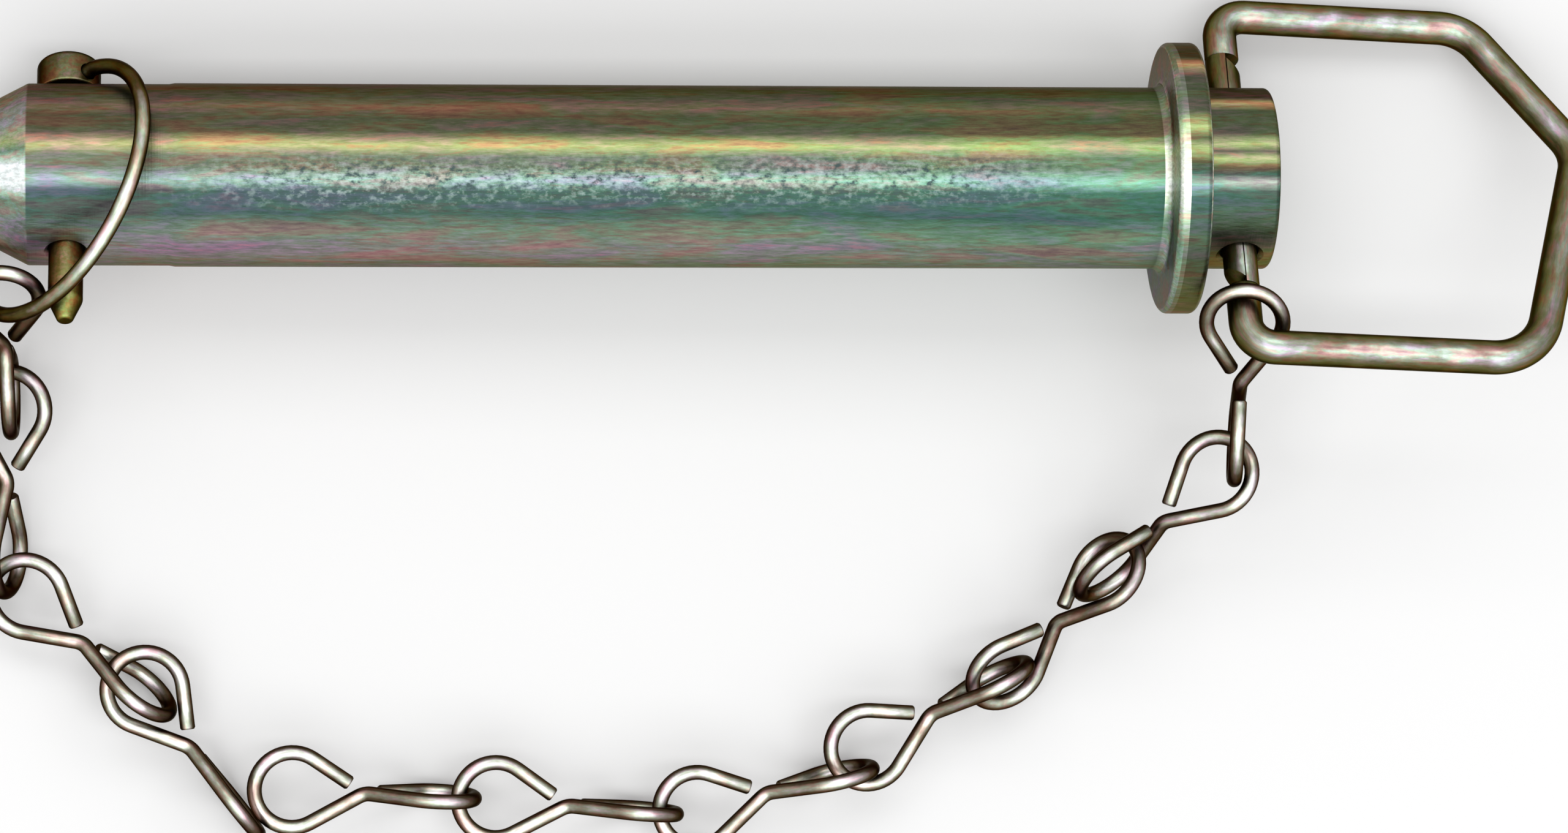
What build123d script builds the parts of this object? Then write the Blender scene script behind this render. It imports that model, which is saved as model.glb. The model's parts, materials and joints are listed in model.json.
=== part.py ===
from build123d import *
from math import acos, asin, cos, degrees, pi, radians, sin, sqrt
import os

# A drawbar pin lying on a floor: shank along X with the tip at -X, up is +Z.
# The origin is on the shank's axis, on the face of the collar that seats on the drawbar.
# Sizes in mm, angles in degrees.

# Pin: one forging, a 1 1/4 in shank with a collar and a stub head, turned all over.
SHANK_D = 31.75
SEAT_TO_LINCH = 190.5
GRIP_L = 172.0
LEAD_D = 31.4
LEAD_STEP_L = 1.0
TIP_L = 15.0
BEVEL_L = 8.3
BEVEL_END_D = 22.8
TIP_EDGE_R = 0.8
COLLAR_D = 47.5
COLLAR_T = 6.0
COLLAR_EDGE = 1.0
NECK_R = 1.6
STUB_L = 12.9
STUB_EDGE = 0.9
HOLE_TILT = 30.0
HOLE_EASE = 0.8

# Handle: one wire, its two ends half-lapped through the cross hole of the stub.
HANDLE_WIRE_D = 6.0
HANDLE_HOLE_D = 6.8
HANDLE_HOLE_TO_COLLAR = 6.8
HANDLE_W = 68.4
HANDLE_SIDE_L = 45.0
HANDLE_PEAK_L = 63.7
HANDLE_PEAK_OFF = 8.9
HANDLE_HEEL_L = 52.0
HANDLE_CORNER_R = 4.8
HANDLE_SIDE_R = 9.0
HANDLE_PEAK_R = 8.0
HANDLE_HEEL_R = 11.0
LAP_GAP = 0.1
LAP_END_LOW = 23.6
LAP_END_HIGH = 21.8
LAP_SHOULDER = 0.9
LAP_BEVEL = 40.0
HANDLE_DROOP = 5.0

# Linch pin: shaft with a rounded nose, drum head drilled across for the ring.
LINCH_D = 6.0
LINCH_HOLE_D = 6.4
LINCH_TIP = 29.5
LINCH_NOSE_L = 4.0
LINCH_NOSE_D = 2.6
HEAD_D = 11.1
HEAD_L = 6.2
HEAD_CLEAR = 0.3
HEAD_EDGE = 0.9
EYE_D = 3.1
EYE_OFF = 2.3

# Ring: sprung wire, straight ends meeting inside the drum head.
RING_WIRE_D = 2.7
RING_ID = 44.45
RING_STRAIGHT = 6.8
RING_BEND_R = 6.0
RING_END_GAP = 0.5
RING_TURN = 51.0
RING_LIFT = 5.5

# Chain: No. 12 jack chain, one wire per link, two loops at right angles.
LINK_WIRE_D = 2.67
LINK_L = 41.3
LINK_LOOP_W = 15.9
LINK_WAIST_R = 3.2
LINK_END_BACK = 3.1

# How each link lies: heading, dip below level, roll, and the play left in the hook it hangs by.
# Five links hang from the handle and six from the ring, and the two runs hook together.
HANDLE_RUN = [
    (-86.9, 34.7, 79.7, (0.07, 6.02, -2.69)),
    (-136.6, 14.0, 63.3, (0.47, 2.24, 1.39)),
    (-134.1, 11.7, 38.3, (6.83, 6.73, 2.29)),
    (-152.5, 0.4, 6.8, (6.1, 4.75, 0.87)),
    (-167.1, -0.5, 5.7, (4.18, -1.48, -0.13)),
]
RING_RUN = [
    (95.0, -49.5, 4.9, (-4.5, 4.93, -0.24)),
    (88.9, -5.4, 20.4, (-0.37, 6.13, 6.06)),
    (140.3, 1.2, 19.3, (-0.49, 1.28, 0.12)),
    (128.1, 0.4, 1.3, (-6.32, 7.33, -0.1)),
    (177.1, 0.0, 4.8, (1.45, 6.76, -0.13)),
    (175.3, 0.3, 0.9, (-0.18, -0.02, 0.01)),
]
MEET_PLAY = (0.24, 0.53, -0.06)
MEET_H = 8.2
RING_HOOK = 346.7

X_DIR = Vector(1, 0, 0)
UP = Vector(0, 0, 1)
FROM_BASE = (Align.CENTER, Align.CENTER, Align.MIN)


def bent_path(points, radii):
    """Straight runs joined by tangent arcs; radii has one entry for each inner corner."""
    edges = []
    start = points[0]
    for i, radius in enumerate(radii, 1):
        corner = points[i]
        back = (points[i - 1] - corner).normalized()
        ahead = (points[i + 1] - corner).normalized()
        half = acos(max(-1, min(1, back.dot(ahead)))) / 2
        reach = radius * cos(half) / sin(half)
        first = corner + back * reach
        last = corner + ahead * reach
        bisector = (back + ahead).normalized()
        middle = corner + bisector * (radius / sin(half) - radius)
        edges += [Line(start, first), ThreePointArc(first, middle, last)]
        start = last
    edges.append(Line(start, points[-1]))
    return Wire([e.edge() for e in edges])


def round_wire(path, diameter):
    """Solid round wire along a path."""
    section = Plane(origin=path @ 0, z_dir=path % 0) * Circle(diameter / 2)
    return sweep(section, path=path)


def rod(start, end, diameter):
    """Solid round bar from one point to another."""
    along = end - start
    bar = Cylinder(diameter / 2, along.length, align=FROM_BASE)
    return Plane(origin=start, z_dir=along.normalized()) * bar


# Both cross holes lie in planes across the shank, tipped HOLE_TILT from level.
tilt = radians(HOLE_TILT)
hole_dir = Vector(0, -cos(tilt), sin(tilt))
hole_up = Vector(0, sin(tilt), cos(tilt))
shank_r = SHANK_D / 2
handle_x = COLLAR_T + HANDLE_HOLE_TO_COLLAR
handle_pivot = Vector(handle_x, 0, 0)
linch_pivot = Vector(-SEAT_TO_LINCH, 0, 0)

# Ring in its closed position round the shank: its plane, centre and pivot.
turn = radians(RING_TURN)
lift = radians(RING_LIFT)
eye_dir = X_DIR * cos(turn) + hole_up * sin(turn)
ring_side = hole_dir.cross(eye_dir)
ring_out = hole_dir * cos(lift) + ring_side * sin(lift)
ring_normal = eye_dir.cross(ring_out)
ring_r = (RING_ID + RING_WIRE_D) / 2
head_base = shank_r + HEAD_CLEAR
eye = linch_pivot - hole_dir * (head_base + EYE_OFF)
ring_mid = eye + ring_out * sqrt(ring_r**2 - RING_STRAIGHT**2)

# The pin lies on the rim of its collar and on the ring, so its axis leans down to the tip.
ring_drop = ring_r * sqrt(1 - ring_normal.Z**2) + RING_WIRE_D / 2 - ring_mid.Z
ring_low_x = ring_mid.X + ring_r * ring_normal.Z * ring_normal.X / sqrt(1 - ring_normal.Z**2)
LEAN = degrees(asin((COLLAR_D / 2 - ring_drop) / abs(ring_low_x)))
lean = Rotation(0, -LEAN, 0)


def leaned(v):
    """A point or direction of the straight pin, turned with the pin onto the floor."""
    c = cos(radians(LEAN))
    s = sin(radians(LEAN))
    return Vector(v.X * c - v.Z * s, v.Y, v.X * s + v.Z * c)


# --- Pin shank ---------------------------------------------------------------------------
tip_x = -SEAT_TO_LINCH - TIP_L
stub_x = COLLAR_T + STUB_L
profile = Polyline(
    (tip_x, 0),
    (tip_x, BEVEL_END_D / 2),
    (tip_x + BEVEL_L, LEAD_D / 2),
    (-GRIP_L - LEAD_STEP_L, LEAD_D / 2),
    (-GRIP_L, shank_r),
    (0, shank_r),
    (0, COLLAR_D / 2 - COLLAR_EDGE),
    (COLLAR_EDGE, COLLAR_D / 2),
    (COLLAR_T - COLLAR_EDGE, COLLAR_D / 2),
    (COLLAR_T, COLLAR_D / 2 - COLLAR_EDGE),
    (COLLAR_T, shank_r),
    (stub_x - STUB_EDGE, shank_r),
    (stub_x, shank_r - STUB_EDGE),
    (stub_x, 0),
    close=True,
)
pin_shank = revolve(make_face(profile), Axis.X)


def rings_at(solid, x, radius):
    """The circular edges of a turned solid at one station."""
    circles = solid.edges().filter_by(GeomType.CIRCLE)
    return [e for e in circles if abs(e.arc_center.X - x) < 0.01 and abs(e.radius - radius) < 0.01]


pin_shank = fillet(rings_at(pin_shank, 0, shank_r), NECK_R)
pin_shank = fillet(rings_at(pin_shank, tip_x, BEVEL_END_D / 2), TIP_EDGE_R)
for pivot, hole_d in ((handle_pivot, HANDLE_HOLE_D), (linch_pivot, LINCH_HOLE_D)):
    pin_shank -= rod(pivot - hole_dir * SHANK_D, pivot + hole_dir * SHANK_D, hole_d)
    for way in (hole_dir, -hole_dir):
        wide = hole_d / 2 + 2 * HOLE_EASE
        ease = Cone(hole_d / 2, wide, 2 * HOLE_EASE, align=FROM_BASE)
        pin_shank -= Plane(origin=pivot + way * (shank_r - HOLE_EASE), z_dir=way) * ease

# --- Handle ------------------------------------------------------------------------------
# Laid out flat from the cross hole: out along the bail, and across towards the low side.
droop = radians(HANDLE_DROOP)
bail_out = X_DIR * cos(droop) - hole_up * sin(droop)
low = -hole_dir
half_w = HANDLE_W / 2


def bail(out, across):
    """A point of the handle's plane."""
    return handle_pivot + bail_out * out + low * across


lap_low = LAP_END_LOW + LAP_SHOULDER
lap_high = LAP_END_HIGH + LAP_SHOULDER
bail_points = [
    bail(0, lap_low),
    bail(0, half_w),
    bail(HANDLE_SIDE_L, half_w),
    bail(HANDLE_PEAK_L, HANDLE_PEAK_OFF),
    bail(HANDLE_HEEL_L, -half_w),
    bail(0, -half_w),
    bail(0, -lap_high),
]
bail_bends = [HANDLE_CORNER_R, HANDLE_SIDE_R, HANDLE_PEAK_R, HANDLE_HEEL_R, HANDLE_CORNER_R]
handle = round_wire(bent_path(bail_points, bail_bends), HANDLE_WIRE_D)
# Each end is half the wire, flat against the other, and runs through the hole to a slanted tip.
wire_r = HANDLE_WIRE_D / 2
across_bail = Plane(origin=handle_pivot, x_dir=bail_out, z_dir=low)
for way, start, end in ((-1, lap_low, -LAP_END_HIGH), (1, -lap_high, LAP_END_LOW)):
    half = rod(bail(0, start), bail(0, end), HANDLE_WIRE_D)
    keep = Box(wire_r * 2, wire_r * 4, HANDLE_W * 2)
    half &= across_bail * Pos(way * (wire_r + LAP_GAP / 2), 0, 0) * keep
    slope = way * LAP_BEVEL if end > 0 else 180 - way * LAP_BEVEL
    beyond = Rotation(0, slope, 0) * Box(HANDLE_W, HANDLE_W, HANDLE_W, align=FROM_BASE)
    half -= across_bail * Pos(0, 0, end) * beyond
    handle += half

# --- Linch pin ---------------------------------------------------------------------------
linch_profile = Polyline(
    (0, -head_base - HEAD_L),
    (HEAD_D / 2 - HEAD_EDGE, -head_base - HEAD_L),
    (HEAD_D / 2, -head_base - HEAD_L + HEAD_EDGE),
    (HEAD_D / 2, -head_base),
    (LINCH_D / 2, -head_base),
    (LINCH_D / 2, LINCH_TIP - LINCH_NOSE_L),
    (LINCH_NOSE_D / 2, LINCH_TIP),
    (0, LINCH_TIP),
    close=True,
)
linch_pin = revolve(make_face(linch_profile), Axis.Y)
nose_rings = [e for e in linch_pin.edges().filter_by(GeomType.CIRCLE) if e.arc_center.Y > LINCH_TIP - 0.1]
linch_pin = fillet(nose_rings, LINCH_NOSE_D / 2 - 0.2)
linch_pin = Plane(origin=linch_pivot, x_dir=X_DIR, z_dir=X_DIR.cross(hole_dir)) * linch_pin
linch_pin -= rod(eye - eye_dir * HEAD_D, eye + eye_dir * HEAD_D, EYE_D)

# --- Linch ring --------------------------------------------------------------------------
# Straight ends in the drum head, a short bend each side, then the round of the ring.
step = asin(RING_STRAIGHT / ring_r)
bend_reach = RING_BEND_R * (1 - cos(step)) / sin(step)


def on_ring(angle):
    """A point on the ring's centre line, the angle measured from its far side."""
    return ring_mid + (ring_out * cos(angle) + eye_dir * sin(angle)) * ring_r


blend = bend_reach / ring_r
side_a = eye + eye_dir * (RING_STRAIGHT - bend_reach)
side_b = eye - eye_dir * (RING_STRAIGHT - bend_reach)
join_a = on_ring(pi - step - blend)
join_b = on_ring(pi + step + blend)
ring_path = Wire(
    [
        Line(eye + eye_dir * RING_END_GAP / 2, side_a).edge(),
        TangentArc(side_a, join_a, tangent=eye_dir).edge(),
        ThreePointArc(join_a, on_ring(0), join_b).edge(),
        TangentArc(side_b, join_b, tangent=-eye_dir).edge(),
        Line(eye - eye_dir * RING_END_GAP / 2, side_b).edge(),
    ]
)
linch_ring = round_wire(ring_path, RING_WIRE_D)

# --- Chain link --------------------------------------------------------------------------
# Along local X: the loop at -X stands in the XZ plane, the loop at +X lies in the XY plane.
loop_r = (LINK_LOOP_W - LINK_WIRE_D) / 2
crown_x = (LINK_L - LINK_WIRE_D) / 2
loop_x = crown_x - loop_r
flare = asin(loop_r / loop_x)
side_l = loop_x * cos(flare)


def loop_point(end, side, reach):
    """A point along one straight side of a loop, reach measured from the waist."""
    x = end * reach * cos(flare)
    y = side * reach * sin(flare)
    return Vector(x, 0, y) if end < 0 else Vector(x, y, 0)


waist_mid_dir = (loop_point(-1, 1, 1) + loop_point(1, 1, 1)).normalized()
waist_half = acos(loop_point(-1, 1, 1).dot(loop_point(1, 1, 1))) / 2
waist_mid = waist_mid_dir * (LINK_WAIST_R / sin(waist_half) - LINK_WAIST_R)
waist_reach = LINK_WAIST_R * cos(waist_half) / sin(waist_half)
waist_in = loop_point(-1, 1, waist_reach)
waist_out = loop_point(1, 1, waist_reach)
link_path = Wire(
    [
        Line(loop_point(-1, -1, LINK_END_BACK), loop_point(-1, -1, side_l)).edge(),
        ThreePointArc(loop_point(-1, -1, side_l), (-crown_x, 0, 0), loop_point(-1, 1, side_l)).edge(),
        Line(loop_point(-1, 1, side_l), waist_in).edge(),
        ThreePointArc(waist_in, waist_mid, waist_out).edge(),
        Line(waist_out, loop_point(1, 1, side_l)).edge(),
        ThreePointArc(loop_point(1, 1, side_l), (crown_x, 0, 0), loop_point(1, -1, side_l)).edge(),
        Line(loop_point(1, -1, side_l), loop_point(1, -1, LINK_END_BACK)).edge(),
    ]
)
link = round_wire(link_path, LINK_WIRE_D)


def laid(origin, along, roll=0):
    """A frame with X along a direction, and Z upright but for its roll."""
    along = along.normalized()
    upright = (UP - along * UP.dot(along)).normalized()
    side = upright.cross(along)
    r = radians(roll)
    return Plane(origin=origin, x_dir=along, z_dir=upright * cos(r) + side * sin(r))


def hooked(hook, wire_d, lies, way):
    """Links hung one after another from a wire, way 1 headed from it and -1 headed to it."""
    inside = crown_x - LINK_WIRE_D / 2
    frames = []
    spot = hook
    for heading, dip, roll, play in lies:
        h = radians(heading)
        d = radians(dip)
        along = Vector(cos(d) * cos(h), cos(d) * sin(h), -sin(d))
        seat = inside if frames else inside - wire_d / 2
        middle = spot + along * way * seat + Vector(*play)
        frames.append(laid(middle, along, roll))
        spot = middle + along * way * inside
    return frames, spot


def level(v):
    """A direction laid flat."""
    return Vector(v.X, v.Y, 0)


# The two runs turn about the wires they hang from until their free ends hook together.
handle_hook = leaned(bail(0, -half_w))
ring_hook = leaned(on_ring(radians(RING_HOOK)))
handle_run, handle_free = hooked(handle_hook, HANDLE_WIRE_D, HANDLE_RUN, 1)
ring_run, ring_free = hooked(ring_hook, RING_WIRE_D, RING_RUN, -1)
handle_reach = level(handle_free - handle_hook).length
ring_reach = level(ring_free - ring_hook).length
between = level(ring_hook - Vector(*MEET_PLAY) - handle_hook)
span = between.length
bow = degrees(acos((handle_reach**2 + span**2 - ring_reach**2) / (2 * handle_reach * span)))
meet = handle_hook + between.normalized().rotate(Axis.Z, bow) * handle_reach
meet.Z = MEET_H - COLLAR_D / 2


def turned_to(frames, hook, free, end):
    """A run's frames, turned about its hook so that its free end comes to a point."""
    move = laid(hook, end - hook).location * laid(hook, free - hook).location.inverse()
    return [Plane(move * frame.location) for frame in frames]


link_frames = turned_to(handle_run, handle_hook, handle_free, meet)
link_frames += reversed(turned_to(ring_run, ring_hook, ring_free, meet + Vector(*MEET_PLAY)))

# --- Save --------------------------------------------------------------------------------
nodes = {
    "pin_shank": lean * pin_shank,
    "handle": lean * handle,
    "linch_pin": lean * linch_pin,
    "linch_ring": lean * linch_ring,
}
for number, frame in enumerate(link_frames, 1):
    nodes[f"chain_link_{number:02d}"] = frame * link
os.makedirs("parts", exist_ok=True)
for name, solid in nodes.items():
    solid.label = name
    export_step(solid, f"parts/{name}.step")
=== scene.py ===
import json
from math import acos, asin, cos, pi, radians, sin, sqrt

import bpy
import bmesh
from mathutils import Matrix, Vector


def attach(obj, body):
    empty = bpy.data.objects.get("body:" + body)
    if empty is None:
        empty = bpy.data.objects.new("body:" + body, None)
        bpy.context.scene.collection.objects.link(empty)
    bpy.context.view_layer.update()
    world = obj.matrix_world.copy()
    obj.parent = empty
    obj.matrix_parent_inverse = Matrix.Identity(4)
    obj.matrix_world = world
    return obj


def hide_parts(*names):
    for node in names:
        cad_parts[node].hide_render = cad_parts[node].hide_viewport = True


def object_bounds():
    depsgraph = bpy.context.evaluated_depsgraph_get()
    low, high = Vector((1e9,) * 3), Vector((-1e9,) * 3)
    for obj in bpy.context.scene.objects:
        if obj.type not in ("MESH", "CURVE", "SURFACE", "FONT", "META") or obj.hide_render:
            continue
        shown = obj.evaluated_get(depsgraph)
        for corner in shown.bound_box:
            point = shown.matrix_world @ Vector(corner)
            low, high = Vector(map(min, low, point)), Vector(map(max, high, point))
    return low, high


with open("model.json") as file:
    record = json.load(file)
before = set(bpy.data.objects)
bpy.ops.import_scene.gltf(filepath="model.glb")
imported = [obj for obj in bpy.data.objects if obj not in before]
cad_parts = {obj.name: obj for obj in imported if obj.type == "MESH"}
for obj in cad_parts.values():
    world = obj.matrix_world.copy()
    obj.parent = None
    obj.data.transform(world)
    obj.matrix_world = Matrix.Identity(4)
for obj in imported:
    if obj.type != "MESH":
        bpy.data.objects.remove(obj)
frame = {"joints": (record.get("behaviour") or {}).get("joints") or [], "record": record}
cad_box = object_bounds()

# --- Pin: one forging ----------------------------------------------------------------------
# A 1 1/4 in steel shank with a seating collar and a short stub head, turned all over on a lathe.
# Two parallel cross holes go right through, the stub's for the handle and the tip's for the
# linch pin. It lies on its collar and on the linch ring, so it leans a little down to the tip.
joints = {j["name"]: j for j in frame["joints"]}
mounts = {m["name"]: m for m in frame["record"]["mounts"]}
pin_x = -Vector(mounts["shank"]["axis"]).normalized()
hole_dir = Vector(joints["handle_swing"]["axis"]).normalized()
pin_y = Vector((0, 1, 0))
pin_z = pin_x.cross(pin_y).normalized()
pin_frame = Matrix((pin_x, pin_y, pin_z)).transposed().to_4x4()
handle_pivot = Vector(joints["handle_swing"]["pos_m"])
SHANK_R = 0.015875
SEAT_TO_LINCH = 0.1905
GRIP_L = 0.172
LEAD_R = 0.0157
TIP_L = 0.015
BEVEL_L = 0.0083
BEVEL_END_R = 0.0114
COLLAR_R = 0.02375
COLLAR_T = 0.006
STUB_L = 0.0129
HANDLE_HOLE_R = 0.0034
LINCH_HOLE_R = 0.0032
HOLE_EASE = 0.0008


def rounded(points, radii, steps=8):
    """A turned profile with its corners rounded: one radius for each point, 0 keeps it sharp."""
    out = []
    for i, point in enumerate(points):
        radius = radii[i]
        if not radius:
            out.append(Vector(point))
            continue
        here = Vector(point)
        back = (Vector(points[i - 1]) - here).normalized()
        ahead = (Vector(points[i + 1]) - here).normalized()
        half = acos(max(-1, min(1, back.dot(ahead)))) / 2
        reach = radius / (sin(half) / cos(half))
        centre = here + (back + ahead).normalized() * (radius / sin(half))
        first = here + back * reach - centre
        last = here + ahead * reach - centre
        for k in range(steps + 1):
            way = first.lerp(last, k / steps)
            out.append(centre + way.normalized() * radius)
    return out


def turned(name, profile, place, segments=160):
    """A solid of revolution about local X from (x, r) points, put in place by a matrix."""
    bm = bmesh.new()
    rings = []
    for x, r in profile:
        if r < 1e-7:
            rings.append([bm.verts.new((x, 0, 0))])
            continue
        turns = [2 * pi * k / segments for k in range(segments)]
        rings.append([bm.verts.new((x, r * cos(t), r * sin(t))) for t in turns])
    for a, b in zip(rings, rings[1:]):
        for k in range(segments):
            n = (k + 1) % segments
            quad = [a[k % len(a)], a[n % len(a)], b[n % len(b)], b[k % len(b)]]
            face = list(dict.fromkeys(quad))
            if len(face) > 2:
                bm.faces.new(face)
    bmesh.ops.recalc_face_normals(bm, faces=bm.faces)
    bm.transform(place)
    mesh = bpy.data.meshes.new(name)
    bm.to_mesh(mesh)
    bm.free()
    piece = bpy.data.objects.new(name, mesh)
    bpy.context.scene.collection.objects.link(piece)
    return piece


def along_x(origin, direction):
    """A place whose local X runs along a direction from an origin."""
    turn = direction.to_track_quat("X", "Z").to_matrix().to_4x4()
    return Matrix.Translation(origin) @ turn


def cut_away(piece, cutters):
    """Takes the cutters out of a piece for good."""
    for cutter in cutters:
        cut = piece.modifiers.new("cut", "BOOLEAN")
        cut.object = cutter
        cut.operation = "DIFFERENCE"
        cut.solver = "EXACT"
    bpy.context.view_layer.update()
    evaluated = piece.evaluated_get(bpy.context.evaluated_depsgraph_get())
    result = bpy.data.meshes.new_from_object(evaluated)
    piece.modifiers.clear()
    piece.data = result
    for cutter in cutters:
        bpy.data.objects.remove(cutter)


def smooth(piece, angle=35):
    """Smooth shading with the real edges kept crisp."""
    piece.data.polygons.foreach_set("use_smooth", [True] * len(piece.data.polygons))
    piece.data.set_sharp_from_angle(angle=radians(angle))


tip_x = -SEAT_TO_LINCH - TIP_L
stub_x = COLLAR_T + STUB_L
pin_points = [
    (tip_x, 0),
    (tip_x, BEVEL_END_R),
    (tip_x + BEVEL_L, LEAD_R),
    (-GRIP_L - 0.001, LEAD_R),
    (-GRIP_L, SHANK_R),
    (0, SHANK_R),
    (0, COLLAR_R),
    (COLLAR_T, COLLAR_R),
    (COLLAR_T, SHANK_R),
    (stub_x, SHANK_R),
    (stub_x, 0),
]
pin_radii = [0, 0.001, 0.0012, 0, 0, 0.0016, 0.0012, 0.0012, 0.0005, 0.001, 0]
profile = []
for point in rounded(pin_points, pin_radii):
    if profile and abs(point.x - profile[-1].x) > 0.02:
        pieces = int(abs(point.x - profile[-1].x) / 0.01)
        start = profile[-1]
        profile += [start.lerp(point, k / pieces) for k in range(1, pieces)]
    profile.append(point)
shank = turned("pin_forging", profile, pin_frame)
cutters = []
for pivot, radius in ((handle_pivot, HANDLE_HOLE_R), (pin_x * -SEAT_TO_LINCH, LINCH_HOLE_R)):
    mouth = SHANK_R - HOLE_EASE
    wide = radius + 2 * HOLE_EASE
    bore = [(-0.03, 0), (-0.03, wide), (-mouth - 2 * HOLE_EASE, wide), (-mouth, radius)]
    bore += [(-x, r) for x, r in reversed(bore)]
    cutters.append(turned("bore", bore, along_x(pivot, hole_dir), 64))
cut_away(shank, cutters)
smooth(shank)


def colour_ramp(tree, stops):
    """A colour ramp node from (position, colour) stops."""
    node = tree.nodes.new("ShaderNodeValToRGB")
    ramp = node.color_ramp
    for element, (position, colour) in zip(ramp.elements, (stops[0], stops[-1])):
        element.position = position
        element.color = (*colour, 1)
    for position, colour in stops[1:-1]:
        ramp.elements.new(position).color = (*colour, 1)
    return node


def value_node(tree, operation, a, b=0.0, c=None):
    """One Math node; its inputs are numbers or sockets."""
    node = tree.nodes.new("ShaderNodeMath")
    node.operation = operation
    for slot, value in enumerate((a, b, c)):
        if value is None:
            continue
        if isinstance(value, (int, float)):
            node.inputs[slot].default_value = value
        else:
            tree.links.new(value, node.inputs[slot])
    return node.outputs[0]


def mixed(tree, factor, under, over, way="MIX"):
    """A colour laid over another; each input is a number, a colour or a socket."""
    node = tree.nodes.new("ShaderNodeMix")
    node.data_type = "RGBA"
    node.blend_type = way
    for label, value in (("Factor", factor), ("A", under), ("B", over)):
        if isinstance(value, (int, float, tuple)):
            node.inputs[label].default_value = value
        else:
            tree.links.new(value, node.inputs[label])
    return node.outputs["Result"]


def spread(tree, value, low, high, to_low=0.0, to_high=1.0, way="LINEAR"):
    """A value stretched from one range to another."""
    node = tree.nodes.new("ShaderNodeMapRange")
    node.interpolation_type = way
    for label, given in (("From Min", low), ("From Max", high), ("To Min", to_low), ("To Max", to_high)):
        node.inputs[label].default_value = given
    tree.links.new(value, node.inputs["Value"])
    return node.outputs["Result"]


def noise(tree, place, scale, detail, roughness=0.5):
    """A noise over a place, or along a line where the place is a single value."""
    node = tree.nodes.new("ShaderNodeTexNoise")
    node.inputs["Scale"].default_value = scale
    node.inputs["Detail"].default_value = detail
    node.inputs["Roughness"].default_value = roughness
    if place.type == "VALUE":
        node.noise_dimensions = "1D"
    tree.links.new(place, node.inputs["W" if place.type == "VALUE" else "Vector"])
    return node.outputs["Fac"]


# The shared plating: zinc with a yellow chromate film. The film's thickness wanders, so its
# colour runs through straw, green, steel and rose, and the metal under it is dull where it is thick.
def chromate_film():
    group = bpy.data.node_groups.new("chromate_film", "ShaderNodeTree")
    ask = group.interface.new_socket
    ask(name="Place", in_out="INPUT", socket_type="NodeSocketVector")
    ask(name="Ground", in_out="INPUT", socket_type="NodeSocketColor")
    for label, value in (("Patch Size", 0.012), ("Speck Size", 0.0011), ("Film", 0.5), ("Mottle", 0.4)):
        socket = ask(name=label, in_out="INPUT", socket_type="NodeSocketFloat")
        socket.default_value = value
    ask(name="Color", in_out="OUTPUT", socket_type="NodeSocketColor")
    ask(name="Roughness", in_out="OUTPUT", socket_type="NodeSocketFloat")
    ask(name="Height", in_out="OUTPUT", socket_type="NodeSocketFloat")
    nodes, links = group.nodes, group.links
    given = nodes.new("NodeGroupInput")
    put = nodes.new("NodeGroupOutput")

    def film_noise(size, detail, roughness, distortion=0.0):
        node = nodes.new("ShaderNodeTexNoise")
        node.inputs["Detail"].default_value = detail
        node.inputs["Roughness"].default_value = roughness
        node.inputs["Distortion"].default_value = distortion
        links.new(given.outputs["Place"], node.inputs["Vector"])
        links.new(value_node(group, "DIVIDE", 1.0, size), node.inputs["Scale"])
        return node.outputs["Fac"]

    patches = film_noise(given.outputs["Patch Size"], 4.0, 0.6, 0.6)
    specks = film_noise(given.outputs["Speck Size"], 3.0, 0.7)
    fine = value_node(group, "MULTIPLY", specks, 0.5)
    thickness = value_node(group, "ADD", value_node(group, "MULTIPLY", patches, 1.3), fine)
    film = colour_ramp(
        group,
        [
            (0.14, (0.66, 0.30, 0.40)),
            (0.28, (0.74, 0.40, 0.34)),
            (0.39, (0.60, 0.50, 0.34)),
            (0.47, (0.34, 0.60, 0.36)),
            (0.55, (0.44, 0.54, 0.48)),
            (0.64, (0.54, 0.48, 0.62)),
            (0.74, (0.76, 0.34, 0.48)),
            (0.92, (0.64, 0.50, 0.34)),
        ],
    )
    links.new(value_node(group, "SUBTRACT", thickness, 0.42), film.inputs["Fac"])
    tint = mixed(group, given.outputs["Film"], given.outputs["Ground"], film.outputs["Color"], "OVERLAY")
    grain = spread(group, specks, 0.35, 0.68, 0.55, 1.35)
    links.new(mixed(group, given.outputs["Mottle"], tint, grain, "MULTIPLY"), put.inputs["Color"])
    dull = value_node(group, "MULTIPLY", value_node(group, "ADD", patches, specks), 0.18)
    links.new(value_node(group, "ADD", 0.2, dull), put.inputs["Roughness"])
    links.new(specks, put.inputs["Height"])
    return group


film_group = chromate_film()


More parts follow.
